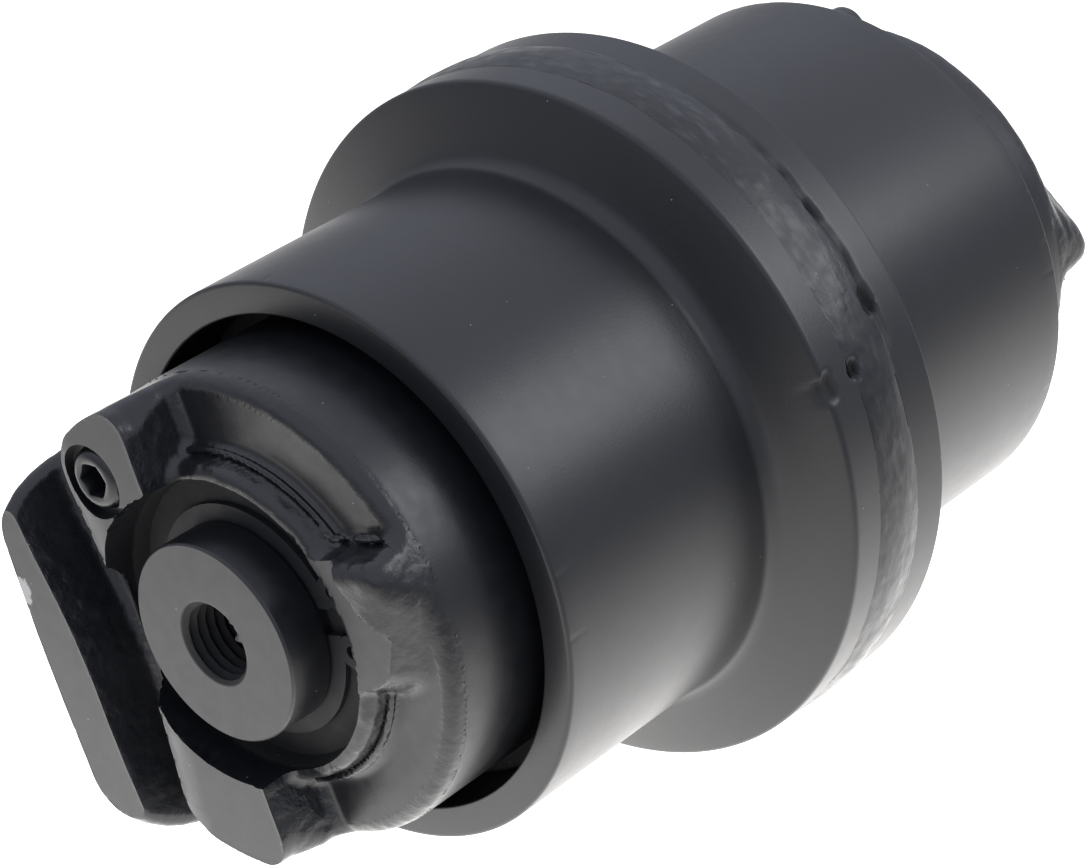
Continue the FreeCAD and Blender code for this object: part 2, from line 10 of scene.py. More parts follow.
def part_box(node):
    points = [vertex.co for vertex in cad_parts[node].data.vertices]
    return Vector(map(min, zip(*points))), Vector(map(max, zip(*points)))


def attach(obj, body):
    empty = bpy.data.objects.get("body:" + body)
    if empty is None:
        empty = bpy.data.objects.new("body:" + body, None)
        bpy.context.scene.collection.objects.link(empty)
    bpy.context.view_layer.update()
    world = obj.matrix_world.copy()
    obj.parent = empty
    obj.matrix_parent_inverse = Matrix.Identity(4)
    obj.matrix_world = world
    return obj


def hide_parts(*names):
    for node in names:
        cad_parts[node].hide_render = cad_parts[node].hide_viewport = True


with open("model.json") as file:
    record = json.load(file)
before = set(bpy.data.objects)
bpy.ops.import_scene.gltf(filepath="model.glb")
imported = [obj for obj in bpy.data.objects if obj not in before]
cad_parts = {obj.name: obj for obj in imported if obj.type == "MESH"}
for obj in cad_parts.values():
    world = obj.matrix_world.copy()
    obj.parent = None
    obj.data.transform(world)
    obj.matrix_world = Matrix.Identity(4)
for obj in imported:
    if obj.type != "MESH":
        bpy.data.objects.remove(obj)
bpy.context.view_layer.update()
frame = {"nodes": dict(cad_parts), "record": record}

# Shapes are worked out in millimetres and turned into metres when a mesh is made.
# Along the axle, "out" is the distance from the middle of the roller towards an end,
# and "drop" is the depth below the collar's machined end plane.
MM = 0.001

# ---------------------------------------------------------------- sizes, from the frame


def reach(node, axis, side):
    """How far a CAD node reaches along an axis, in millimetres."""
    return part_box(node)[side][axis] / MM


AXLE_END = reach("axle", 1, 1)
SHELL_END = reach("shell_half_far", 1, 1)
FLANGE_RADIUS = reach("shell_half_far", 0, 1)
WELD_RADIUS = reach("centre_weld_bead", 0, 1)
SIDES = (("near", -1), ("far", 1))

# shell
TREAD_RADIUS = 55.0
MOUTH_RADIUS = 48.7
MOUTH_FLOOR = 60.3
FLANGE_EDGE = 13.2
FLANGE_ROOT = 18.4
ROOT_FILLET = 4.0
WELD_HALF_WIDTH = 4.0
WELD_ROOT = 62.0
WELD_MIDDLE = -0.4
WELD_TOE = 5.6
RESERVOIR_RADIUS = 28.0
RESERVOIR_END = 14.0
BUSHING_RADIUS = 24.5
THRUST_SEAT = 50.0
THRUST_BORE = 31.1
SEAL_SEAT_DEPTH = 53.2
SEAL_SEAT_BACK = 37.2
SEAL_SEAT_MOUTH = 39.0
SHELL_SEGMENTS = 720
WELD_SEGMENTS = 1100

# collar
COLLAR_TURN = math.radians(-23.6)
SKIRT_RADIUS = 45.0
SKIRT_INNER_END = 61.5
MACHINED_END = 89.6
CAST_STEP = 0.18
SHOULDER_ROUND = 3.0
DISH_FACE = 92.5
RING_STEP = 94.1
RING_FOOT_RADIUS = 32.0
RING_LIP = 98.0
RING_LIP_RADIUS = 31.2
POCKET_RADIUS = 27.3
POCKET_FLARE = 0.22
POCKET_FLOOR = 94.0
HUB_RADIUS = 27.0
HUB_END = 53.3
HUB_TOP = 80.0
SEAL_BACK = 71.0
SEAL_SEAT_TAPER = 0.19
COLLAR_BORE = 19.25
RIB_OUTER = 52.0
RIB_INNER = 42.9
RIB_BELLY = 2.0
RIB_BOW_MIDDLE = -8.0
RIB_BOW_RADIUS = 450.0
RIB_SHORT_END = 26.5
RIB_LONG_END = 37.6
RIB_BACK = 80.0
RIB_FOOT_INSET = 3.0
RIB_FOOT_INNER = 27.0
RIB_FOOT_SHORT_END = 29.0
RIB_FOOT_LONG_END = 42.0
# Each lug: (its side of the axle, inner edge, how much that edge spreads with depth)
LUGS = ((1, 4.5, 0.12), (-1, 1.4, 0.10))
LUG_FILLET = 2.2
LUG_LEFT = 24.2
LUG_BOW = 0.003
CREST_WIDTH = 8.0
CREST_FALL = 1.2
# Beads of metal at the ends of the ring's step: (x, z, radius)
BLOBS = ((-4.3, 31.2, 1.1), (-2.4, 31.0, 0.8), (26.2, 16.6, 1.3), (24.0, 18.5, 0.8))
KNOB_UPPER_FOOT = 14.8
KNOB_LOWER_FOOT = 14.0
KNOB_SLANT = 38.4
KNOB_TOP = 101.3
KNOB_INNER = 15.0
KNOB_LAND = 98.5
# Point on the edge of the machined land, and the way across that edge, both as (x, z)
LAND_PLACE = (32.5, 12.2)
LAND_WAY = (13.1, 7.3)
LAND_WAY_LENGTH = 15.0
LAND_HALF_WIDTH = 17
LAND_RADIUS = 46
PLUG_PLACE = (-18.0, 30.8)
PORT_RECESS_RADIUS = 7.15
PORT_RECESS_FLOOR = 102.4
PORT_RADIUS = 6.03
PORT_FLOOR = 88.0
PIN_PLANE = 84.0
PIN_HOLE_RADIUS = 4.0
# Cell size of each collar's mesh, and how far the cells reach from the axle
NEAR_STEP = 0.57
FAR_STEP = 0.8
GRID_REACH = 47.0

# plug
PLUG_RADIUS = 5.95
PLUG_LENGTH = 12.0
PLUG_SEGMENTS = 144
HEX_FLATS = 6.0
HEX_DEPTH = 4.6
HEX_TURN = math.radians(50)

# axle
AXLE_RADIUS = 19.2
AXLE_SEGMENTS = 240
AXLE_SHOULDER = 53.3
JOURNAL_RADIUS = 20.5
WAIST_RADIUS = 18.5
WAIST_END = 12.0
CLIP_GROOVE = (94.0, 95.9)
CLIP_GROOVE_RADIUS = 18.0
THREAD_PITCH = 2.0
THREAD_MINOR = 7.0
THREAD_MAJOR = 8.0
THREAD_MOUTH = 8.3
THREAD_DEPTH = 32.0
BURR_ANGLE = math.radians(43)

# looks; places and sizes in the studio are in metres
PAINT = (0.0060, 0.0064, 0.0080)
# Painted shade for the deep recesses and the rim's pits
SHADE = (0.002, 0.002, 0.0025)
DUST = (0.2, 0.2, 0.21)
DARK_SPECK = (0.002, 0.002, 0.003)
BARE_SPECK = (0.5, 0.5, 0.5)
CHIP = (0.3, 0.3, 0.3)
# Middle of the chip in the near collar's own axes
CHIP_PLACE = (-52.2, -AXLE_END + 1.0, 9.0)
WELD_STREAK = (0.035, 0.036, 0.039)
FLOOR_COLOR = (0.15, 0.15, 0.15)
FLOOR_LIGHT = (1.0, 0.985, 0.965)
FLOOR_HALF_SIZE = 6.0
FLOOR_GAP = 0.0003
FLOOR_FAR = 0.4
# Painted pool of light on the floor, glowing most under the part: (strength, distance at which half is
# left in metres, how sharply it falls)
FLOOR_GLOWS = ((0.8, 0.42, 4.0), (1.45, 0.17, 3.0))
# Brightness of the sky at the horizon and overhead
SKY = (0.45, 1.05)
SKY_COLOR = (0.91, 0.95, 1.10)
SOFT_BOX = 3.2
SOFT_BOX_PLACE = (0.305, 0.252, 0.349)
SOFT_BOX_AIM = (0.03, -0.1, 0.03)
SOFT_BOX_SIZE = (0.27, 0.27)
CAMERA_AZIMUTH = math.radians(40.9)
CAMERA_ELEVATION = math.radians(32.74)
CAMERA_DISTANCE = 0.650
CAMERA_AIM = (-0.0067, -0.0104, -0.0054)
CAMERA_LENS = 112.0

# ---------------------------------------------------------------- numbers


def lattice(ix, iy, iz):
    """A repeatable random value from -1 to 1 for each whole-number place."""
    n = ix.astype(np.int64) * 374761393 + iy.astype(np.int64) * 668265263
    n = (n + iz.astype(np.int64) * 1274126177) & 0xFFFFFFFF
    n = ((n ^ (n >> 13)) * 1103515245) & 0xFFFFFFFF
    n = n ^ (n >> 16)
    return (n & 0xFFFF) / 32767.5 - 1.0


def noise(x, y, z, size):
    """Smooth random values from -1 to 1 with features of about this size in millimetres."""
    x, y, z = np.broadcast_arrays(x / size, y / size, z / size)
    ix, iy, iz = np.floor(x), np.floor(y), np.floor(z)
    fx, fy, fz = x - ix, y - iy, z - iz
    fx, fy, fz = (f * f * (3 - 2 * f) for f in (fx, fy, fz))
    total = 0
    for dx, dy, dz in product((0, 1), repeat=3):
        weight = (fx if dx else 1 - fx) * (fy if dy else 1 - fy) * (fz if dz else 1 - fz)
        total = total + weight * lattice(ix + dx, iy + dy, iz + dz)
    return total


def rough(x, y, z, size, octaves=3):
    """Noise with finer and weaker noise added, one octave after another."""
    total, height = 0, 1.0
    for octave in range(octaves):
        total = total + height * noise(x + 31.7 * octave, y, z - 17.3 * octave, size / 2**octave)
        height *= 0.5
    return total / 1.75


def bump_at(value, middle, width):
    """A smooth hump of height one around a value."""
    return np.exp(-(((value - middle) / width) ** 2))


def meet(a, b, radius):
    """Where two solids overlap, with the edge between them rounded."""
    a, b = a + radius, b + radius
    return np.minimum(np.maximum(a, b), 0) + np.hypot(np.maximum(a, 0), np.maximum(b, 0)) - radius


def join(a, b, radius):
    """Two solids together, with a fillet between them."""
    return -meet(-a, -b, radius)


# ---------------------------------------------------------------- meshes


def new_piece(name, places, faces, body, stands_for=(), crease=40):
    """A mesh object from millimetre places, riding on its body."""
    mesh = bpy.data.meshes.new(name)
    mesh.from_pydata((np.asarray(places) * MM).tolist(), [], [list(map(int, f)) for f in faces])
    mesh.validate()
    mesh.update()
    mesh.polygons.foreach_set("use_smooth", np.ones(len(mesh.polygons), bool))
    mesh.set_sharp_from_angle(angle=math.radians(crease))
    piece = bpy.data.objects.new(name, mesh)
    bpy.context.collection.objects.link(piece)
    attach(piece, body)
    if stands_for:
        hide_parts(*stands_for)
    return piece


def mark(piece, name, values):
    """A value for each point of a piece, for its material to read."""
    layer = piece.data.attributes.new(name, "FLOAT", "POINT")
    layer.data.foreach_set("value", np.asarray(values, np.float32))


def soften(profile, step=6):
    """A closed profile of (along, radius, corner radius) with its corners rounded."""
    rounded = []
    for i, (along, radius, corner) in enumerate(profile):
        here = np.array((along, radius))
        before = np.array(profile[i - 1][:2]) - here
        after = np.array(profile[(i + 1) % len(profile)][:2]) - here
        if corner <= 0:
            rounded.append(here)
            continue
        lengths = np.linalg.norm(before), np.linalg.norm(after)
        before, after = before / lengths[0], after / lengths[1]
        angle = math.acos(max(-1.0, min(1.0, float(before @ after))))
        trim = min(corner / math.tan(angle / 2), 0.49 * min(lengths))
        start, end = here + before * trim, here + after * trim
        for t in np.linspace(0, 1, step):
            rounded.append((1 - t) ** 2 * start + 2 * t * (1 - t) * here + t * t * end)
    return np.array(rounded)


def refine(profile, longest, finest=0.0, fine_from=1e9):
    """More points along a closed profile, finest where both ends are beyond a radius."""
    points = []
    for i, start in enumerate(profile):
        end = profile[(i + 1) % len(profile)]
        limit = finest if min(start[1], end[1]) > fine_from else longest
        count = max(1, int(math.ceil(np.linalg.norm(end - start) / limit)))
        for t in range(count):
            points.append(start + (end - start) * t / count)
    return np.array(points)


def lathe(name, profile, segments, body, stands_for, shape=None):
    """A closed ring turned about the axle; shape(along, radius, angle) may move the points."""
    angles = np.linspace(0, 2 * math.pi, segments, endpoint=False)[:, None]
    along = np.broadcast_to(profile[None, :, 0], (segments, len(profile)))
    radius = np.broadcast_to(profile[None, :, 1], (segments, len(profile)))
    if shape:
        along, radius = shape(along, radius, angles)
    places = np.stack([radius * np.cos(angles), along, radius * np.sin(angles)], -1).reshape(-1, 3)
    rows = len(profile)
    ring = np.arange(segments)[:, None]
    row = np.arange(rows)[None]
    following, above = (ring + 1) % segments, (row + 1) % rows
    faces = np.stack(
        [ring * rows + row, following * rows + row, following * rows + above, ring * rows + above], -1
    ).reshape(-1, 4)
    area = np.sum(profile[:, 0] * np.roll(profile[:, 1], -1) - np.roll(profile[:, 0], -1) * profile[:, 1])
    if area > 0:
        faces = faces[:, ::-1]
    return new_piece(name, places, faces, body, stands_for)


def crossings(distance, axes, inside, axis):
    """Grid edges along one axis that the surface crosses: their cells, places and slopes."""
    lower = np.take(inside, range(inside.shape[axis] - 1), axis)
    upper = np.take(inside, range(1, inside.shape[axis]), axis)
    spots = np.argwhere(lower != upper)
    start = np.stack([axes[i][spots[:, i]] for i in range(3)], -1)
    end = start.copy()
    end[:, axis] = axes[axis][spots[:, axis] + 1]
    low, high = np.zeros(len(spots)), np.ones(len(spots))
    low_value, high_value = distance(*start.T), distance(*end.T)
    for repeat in range(2):
        part = low + (high - low) * low_value / (low_value - high_value)
        place = start + (end - start) * part[:, None]
        value = distance(*place.T)
        same = (value < 0) == (low_value < 0)
        low, low_value = np.where(same, part, low), np.where(same, value, low_value)
        high, high_value = np.where(same, high, part), np.where(same, high_value, value)
    slope = np.empty_like(place)
    for i in range(3):
        moved = place.copy()
        moved[:, i] += 0.01
        slope[:, i] = distance(*moved.T) - value
    slope /= np.maximum(np.linalg.norm(slope, axis=1), 1e-9)[:, None]
    return spots, lower[tuple(spots.T)], place, slope


def surface_net(distance, axes):
    """The zero surface of a distance function: one place per grid cell, on its sharp edges."""
    grid = (axes[0][:, None, None], axes[1][None, :, None], axes[2][None, None, :])
    inside = distance(*grid) < 0
    shape = tuple(n - 1 for n in inside.shape)
    count = np.zeros(shape, np.int8)
    for corner in product((0, 1), repeat=3):
        count += inside[tuple(slice(c, c + n) for c, n in zip(corner, shape))]
    crossed = (count > 0) & (count < 8)
    number = np.full(shape, -1, np.int64)
    number[crossed] = np.arange(crossed.sum())
    cells = np.argwhere(crossed)
    square, target = np.zeros((len(cells), 3, 3)), np.zeros((len(cells), 3))
    middle, hits = np.zeros((len(cells), 3)), np.zeros(len(cells))
    faces = []
    for axis in range(3):
        first, second = [i for i in range(3) if i != axis]
        spots, filled, place, slope = crossings(distance, axes, inside, axis)
        facing = (slope * place).sum(1)
        ready = (spots[:, first] > 0) & (spots[:, second] > 0)
        ready &= (spots[:, first] < shape[first]) & (spots[:, second] < shape[second])
        spots, filled, place, slope, facing = (
            values[ready] for values in (spots, filled, place, slope, facing)
        )
        corners = []
        for a, b in ((1, 1), (0, 1), (0, 0), (1, 0)):
            at = spots.copy()
            at[:, first] -= a
            at[:, second] -= b
            cell = number[tuple(at.T)]
            corners.append(cell)
            hits += np.bincount(cell, minlength=len(cells))
            for i in range(3):
                middle[:, i] += np.bincount(cell, place[:, i], len(cells))
                target[:, i] += np.bincount(cell, slope[:, i] * facing, len(cells))
                for j in range(3):
                    square[:, i, j] += np.bincount(cell, slope[:, i] * slope[:, j], len(cells))
        quads = np.stack(corners, -1)
        turn = filled ^ (axis == 1)
        quads[~turn] = quads[~turn][:, ::-1]
        faces.append(quads)
    middle /= hits[:, None]
    hold = 0.04 * hits
    square += hold[:, None, None] * np.eye(3)
    target += hold[:, None] * middle
    places = np.linalg.solve(square, target[:, :, None])[:, :, 0]
    for i in range(3):
        lowest, highest = axes[i][cells[:, i]], axes[i][cells[:, i] + 1]
        places[:, i] = np.clip(places[:, i], lowest, highest)
    return places, np.concatenate(faces)


# ---------------------------------------------------------------- shell


def shell_profile(end):
    """Half of the shell's section as (along, radius, corner radius)."""
    rim = FLANGE_RADIUS - 0.02
    near_edge, far_edge = (0.9, 1.2) if end < 0 else (0.5, 0.35)
    return [
        (SHELL_END * end, MOUTH_RADIUS, 0.5),
        (SHELL_END * end, TREAD_RADIUS, near_edge),
        (FLANGE_ROOT * end, TREAD_RADIUS, ROOT_FILLET),
        (FLANGE_EDGE * end, rim, far_edge),
        (WELD_HALF_WIDTH * end, rim, 0),
        (0, WELD_ROOT, 0),
        (0, RESERVOIR_RADIUS, 0),
        (RESERVOIR_END * end, RESERVOIR_RADIUS, 0),
        (RESERVOIR_END * end, BUSHING_RADIUS, 0),
        (THRUST_SEAT * end, BUSHING_RADIUS, 0),
        (THRUST_SEAT * end, THRUST_BORE, 0),
        (SEAL_SEAT_DEPTH * end, THRUST_BORE, 0),
        (SEAL_SEAT_DEPTH * end, SEAL_SEAT_BACK, 0),
        (MOUTH_FLOOR * end, SEAL_SEAT_MOUTH, 0.4),
        (MOUTH_FLOOR * end, MOUTH_RADIUS, 1.0),
    ]


# Marks in the rim: (along, angle in degrees, half width along, half width round, depth)
RIM_PITS = (
    (4.9, 36.6, 1.5, 2.4, 1.7),
    (-5.0, 29.0, 1.0, 1.6, 1.4),
    (-12.3, 28.5, 1.5, 2.1, 1.2),
    (5.4, 52.0, 0.9, 2.2, 0.5),
)


def rim_wear(along, radius, angles):
    """How far the rim's surface is sunk by the weld's undercut and its pits."""
    degrees = np.degrees(angles)
    degrees = np.where(degrees > 180, degrees - 360, degrees)
    x, z = radius * np.cos(angles), radius * np.sin(angles)
    stretch = 1 / (1 + np.exp(-(degrees - 31) / 2.0)) / (1 + np.exp((degrees - 68) / 4.0))
    wander = 5.6 + 0.5 * noise(x, 0 * along, z, 6.0)
    depth = 0.55 * stretch * bump_at(along, wander, 0.75) * (1 + 0.5 * noise(x, along, z, 3.0))
    for place, angle, half_along, half_round, deep in RIM_PITS:
        sideways = along - place + 0.5 * noise(x, along, z, 1.7)
        round_about = (degrees - angle) * math.radians(1) * FLANGE_RADIUS + 0.7 * noise(z, x, along, 2.0)
        depth = depth + deep * np.exp(-((sideways / half_along) ** 4) - (round_about / half_round) ** 4)
    return depth


def mark_painted_shade(piece):
    """Mark the rim's pits and undercut, and the inside of the mouth, for the paint, which darkens them as
    painted shade and dulls their gloss.
    """
    places = np.array([point.co for point in piece.data.vertices]) / MM
    radius = np.hypot(places[:, 0], places[:, 2])
    pit_depth = rim_wear(places[:, 1], radius, np.arctan2(places[:, 2], places[:, 0]))
    # the rim's pits and undercut, darkened by the paint as painted shade
    mark(piece, "pit_depth", np.clip(pit_depth * 2 - 0.2, 0, 1) * (radius > FLANGE_RADIUS - 4))
    # the inside of the mouth, darkened by the paint as painted shade
    mark(piece, "deep", radius < MOUTH_RADIUS - 0.2)
    return piece


def shell_half(side, end):
    """One half of the shell, slightly uneven outside, with small nicks along its end edge."""

    def shape(along, radius, angles):
        x, z = radius * np.cos(angles), radius * np.sin(angles)
        wave = 0.008 * noise(x, along, z, 18.0)
        pit_depth = rim_wear(along, radius, angles)
        edge = bump_at(np.abs(along), SHELL_END, 1.6) * bump_at(radius, TREAD_RADIUS, 1.6)
        nick = 0.55 * edge * np.clip(noise(x, along + 7, z, 1.5) - 0.62, 0, 1)
        outer = radius > TREAD_RADIUS - 2.5
        rim = np.clip((radius - FLANGE_RADIUS + 3.0) / 2.0, 0, 1)
        return along, radius + outer * (wave - 0.02 - nick) - rim * pit_depth

    profile = refine(soften(shell_profile(end)), 3.2, 0.5, FLANGE_RADIUS - 5.0)
    stands_for = [f"shell_half_{side}"]
    piece = lathe(f"shell_{side}", profile, SHELL_SEGMENTS, "roller", stands_for, shape)
    return mark_painted_shade(piece)


def weld_bead():
    """The bead round the rim: a low hump with drips, sunk at the rim's undercut and pits."""
    crown = WELD_RADIUS - FLANGE_RADIUS

    def shape(along, radius, angles):
        x, z = radius * np.cos(angles), radius * np.sin(angles)
        outer = radius > FLANGE_RADIUS - 3
        across = (along - WELD_MIDDLE) / (WELD_TOE + 0.5 * noise(x, 0 * along, z, 9.0))
        hump = 0.85 * crown * (1 - across**2) - 0.08 + 0.14 * np.clip(across, 0, 1)
        drips = 0.15 * rough(x, along * 2.2, z, 8.0) + 0.03 * noise(x, along, z, 1.5)
        drips = drips * np.sqrt(np.clip(1 - across**2, 0, 1))
        top = FLANGE_RADIUS + np.clip(hump + drips, -2.0, 0.93 * crown)
        top = np.where(np.abs(across) > 1, FLANGE_RADIUS - 1.5, top)
        return along, np.where(outer, top - 1.1 * rim_wear(along, radius, angles), radius)

    half = WELD_TOE + 0.9
    profile = [
        (WELD_MIDDLE - half, FLANGE_RADIUS - 1.5, 0),
        (WELD_MIDDLE + half, FLANGE_RADIUS - 1.5, 0),
        (WELD_MIDDLE, WELD_ROOT + 1.0, 0),
    ]
    profile = refine(soften(profile), 0.42)
    stands_for = ["centre_weld_bead"]
    piece = lathe("weld_bead", profile, WELD_SEGMENTS, "roller", stands_for, shape)
    return mark_painted_shade(piece)


# ---------------------------------------------------------------- collars


def rib_and_base(x, out, z):
    """Distance to the rib: slightly bowed outside, with ends that spread with depth."""
    drop = AXLE_END - out
    bow = RIB_OUTER - (z - RIB_BOW_MIDDLE) ** 2 / (2 * RIB_BOW_RADIUS)
    spread = 1 - np.exp(-np.clip(drop, 0, 30) / 5.5)
    rib = meet(-(x + bow), z - RIB_SHORT_END - 5.0 * spread, 7.5)
    rib = meet(rib, -z - RIB_LONG_END - 7.0 * spread, 8.0)
    inner = RIB_INNER + 0.1 * z - RIB_BELLY * bump_at(z, -2.0, 17.0)
    return meet(rib, x + inner - drop * 0.21, 3.0)


def crest_line(z):
    """Where the lugs' top ends towards the groove."""
    return -LUG_LEFT - np.minimum(LUG_BOW * z**2, 3.6)


def lug(x, out, z, side, inner_edge, flare):
    """Distance to one lug, open towards the rim of the casting."""
    drop = AXLE_END - out
    wall = x + inner_edge - np.clip(drop, 0, 20) * flare
    flank = (crest_line(z) - x - (drop - CREST_FALL) * 0.5) * 0.9
    return meet(meet(wall, flank, 0.6), -z * side, 0.1)


def cast_collar(x, out, z):
    """Distance to the rough casting, with the rib towards -x."""
    r = np.hypot(x, z)
    solid = join(out - DISH_FACE + 0 * r, meet(r - RING_FOOT_RADIUS, out - RING_STEP, 0.15), 2.2)
    lip = meet(r - RING_LIP_RADIUS + (out - RING_STEP) * 0.27, out - RING_LIP, 1.5)
    solid = join(solid, lip, 0.25)
    for side, inner_edge, flare in LUGS:
        solid = join(solid, lug(x, out, z, side, inner_edge, flare), LUG_FILLET)

    # knob: a rounded hill that runs out to the rim, with beads of metal along its foot;
    # dividing by 1.17 makes the leaning side's distance even with the others
    high = out - DISH_FACE
    sides = meet(z - KNOB_UPPER_FOOT + 0.25 * high, -z - KNOB_LOWER_FOOT + 0.5 * high, 3.0)
    slant = (0.87 * x - 0.49 * z - KNOB_SLANT + 0.6 * high) / 1.17
    knob = meet(meet(meet(sides, slant, 4.0), KNOB_INNER - x, 1.0), out - KNOB_TOP, 2.8)
    solid = join(solid, knob, 1.6)
    knob_foot = np.hypot(z - KNOB_UPPER_FOOT - 0.6, out - RING_STEP)
    beads = knob_foot - 0.5 - 0.45 * noise(x, out, z, 3.2) + np.clip(26 - x, 0, 30) * 0.3
    solid = join(solid, beads, 0.4)
    solid = join(solid, np.hypot(r - RING_FOOT_RADIUS, out - RING_STEP) - 0.55, 0.2)
    for place_x, place_z, size in BLOBS:
        blob = np.sqrt((x - place_x) ** 2 + (z - place_z) ** 2 + (out - RING_STEP) ** 2)
        solid = join(solid, blob - size, 0.4)

    # outline seen along the axle, with the foot of the rib
    across = meet(-(x + RIB_OUTER - RIB_FOOT_INSET), x + RIB_FOOT_INNER, 3.0)
    upright = meet(z - RIB_FOOT_SHORT_END, -z - RIB_FOOT_LONG_END, 3.0)
    outline = join(r - SKIRT_RADIUS + CAST_STEP, meet(across, upright, 6.0), 5.0)
    lug_round = 3.5 * np.clip((out - 96) / 6, 0, 1) * (x < 5)
    shoulder = SHOULDER_ROUND + lug_round - 0.8 * (x > 28) * (out > 94)
    solid = meet(solid, outline + 0 * out, shoulder)
    return join(solid, rib_and_base(x, out, z), 2.5)


def machining(x, out, z, port):
    """Distance to what the machine tools take away, as a negative inside."""
    r = np.hypot(x, z)
    high = np.clip(out - POCKET_FLOOR, 0, 11)
    nibble = 0.8 * np.clip(noise(x, out * 0.3, z, 1.4) - 0.05, 0, 1) * np.clip(high / 11, 0, 1) ** 3
    flare = POCKET_FLARE * np.minimum(high, 4.2)
    tool = np.maximum(r - POCKET_RADIUS - flare - nibble, POCKET_FLOOR - out)
    up_crest = np.clip((crest_line(z) + CREST_WIDTH - x) / CREST_WIDTH, 0, 1.25)
    tool = np.minimum(tool, AXLE_END - CREST_FALL * up_crest**2 * (x > -36) - out)
    tool = np.minimum(tool, r - COLLAR_BORE)
    across_land = LAND_WAY[0] * (x - LAND_PLACE[0]) + LAND_WAY[1] * (z - LAND_PLACE[1])
    land = meet(across_land / LAND_WAY_LENGTH, KNOB_LAND - out, 1.0)
    land = np.maximum(np.maximum(land, KNOB_INNER - x), np.abs(z) - LAND_HALF_WIDTH)
    tool = np.minimum(tool, np.maximum(land, r - LAND_RADIUS))
    seat = np.maximum(r - SEAL_SEAT_BACK - (SEAL_BACK - out) * SEAL_SEAT_TAPER, HUB_RADIUS - r)
    tool = np.minimum(tool, np.maximum(seat, out - SEAL_BACK))
    tool = np.minimum(tool, np.maximum(np.hypot(out - PIN_PLANE, z) - PIN_HOLE_RADIUS, x))
    if port:
        round_port = np.hypot(x - PLUG_PLACE[0], z - PLUG_PLACE[1])
        tool = np.minimum(tool, np.maximum(round_port - PORT_RECESS_RADIUS, PORT_RECESS_FLOOR - out))
        tool = np.minimum(tool, np.maximum(round_port - PORT_RADIUS, PORT_FLOOR - out))
    return tool


def collar_solid(x, out, z):
    """Distance to the collar before drilling and facing: rough casting, turned skirt and hub."""
    r = np.hypot(x, z)
    lumps = 0.16 * rough(x, out, z, 8.0, 2) + 0.07 * noise(x, out, z, 1.7)
    lumps = lumps + 0.2 * bump_at(r, 29.5, 2.0) * bump_at(out, 97.5, 2.5) * noise(x, out, z, 2.2)
    smooth_dish = (r > RING_FOOT_RADIUS + 1) * (r < 42.6) * (out < DISH_FACE + 0.9)
    lumps = lumps * (1 - 0.8 * smooth_dish)
    lumps = lumps * (1 - 0.7 * bump_at(r, RING_FOOT_RADIUS, 1.6) * bump_at(out, RING_STEP, 2.0))
    lumps = lumps * np.where(r > SKIRT_RADIUS + 1, 1.0, np.clip(out - MACHINED_END + 0.5, 0, 1))
    cast = np.maximum(cast_collar(x, out, z) + lumps, RIB_BACK - out)
    turned = np.maximum(np.maximum(r - SKIRT_RADIUS, out - MACHINED_END), SKIRT_INNER_END - out)
    hub = np.maximum(r - HUB_RADIUS, np.maximum(HUB_END - out, out - HUB_TOP))
    return np.minimum(np.minimum(cast, turned), hub)


def collar_distance(x, out, z, port):
    return np.maximum(collar_solid(x, out, z), -machining(x, out, z, port))


def collar(side, end, step, port):
    """The casting as a fine mesh of its distance function, with its machined cuts."""
    across = np.arange(-RIB_OUTER - 1.5, GRID_REACH, step)
    upright = np.arange(-GRID_REACH, GRID_REACH, step)
    inner = np.arange(HUB_END - 1.03, MACHINED_END - 6.0, step * 4)
    outer = np.arange(inner[-1] + step, AXLE_END + 1.0, step)

    def distance(x, out, z):
        return collar_distance(x, out, z, port)

    places, faces = surface_net(distance, (across, np.concatenate([inner, outer]), upright))
    # how rough each point's skin is, and which points lie in the shade of the pocket, for the paint to
    # darken as painted shade
    gap = collar_solid(*places.T) + machining(*places.T, port)
    out = places[:, 1]
    r = np.hypot(places[:, 0], places[:, 2])
    turned = (r > SKIRT_RADIUS - 0.1) & (out < MACHINED_END + 0.1)
    dish = (r > RING_FOOT_RADIUS) & (r < 42) & (out < DISH_FACE + 0.6)
    cast = np.clip(gap / 0.6 + 0.6, 0, 1) * ~turned * np.where(dish, 0.15, 1)
    deep = (r < POCKET_RADIUS + 1.3) & (out < RING_LIP - 0.5) & (r > COLLAR_BORE - 1)
    places[:, 1] = np.minimum(places[:, 1], AXLE_END)
    places[:, 1] *= -1
    half_turn = Matrix.Rotation(math.pi, 3, "X") if end > 0 else Matrix.Identity(3)
    turn = np.array(Matrix.Rotation(COLLAR_TURN, 3, "Y") @ half_turn)
    piece = new_piece(
        f"collar_casting_{side}", places @ turn.T, faces[:, ::-1], "axle_assembly",
        [f"collar_{side}"],
    )
    mark(piece, "cast", cast)
    mark(piece, "deep", deep)
    return piece


# ---------------------------------------------------------------- plug


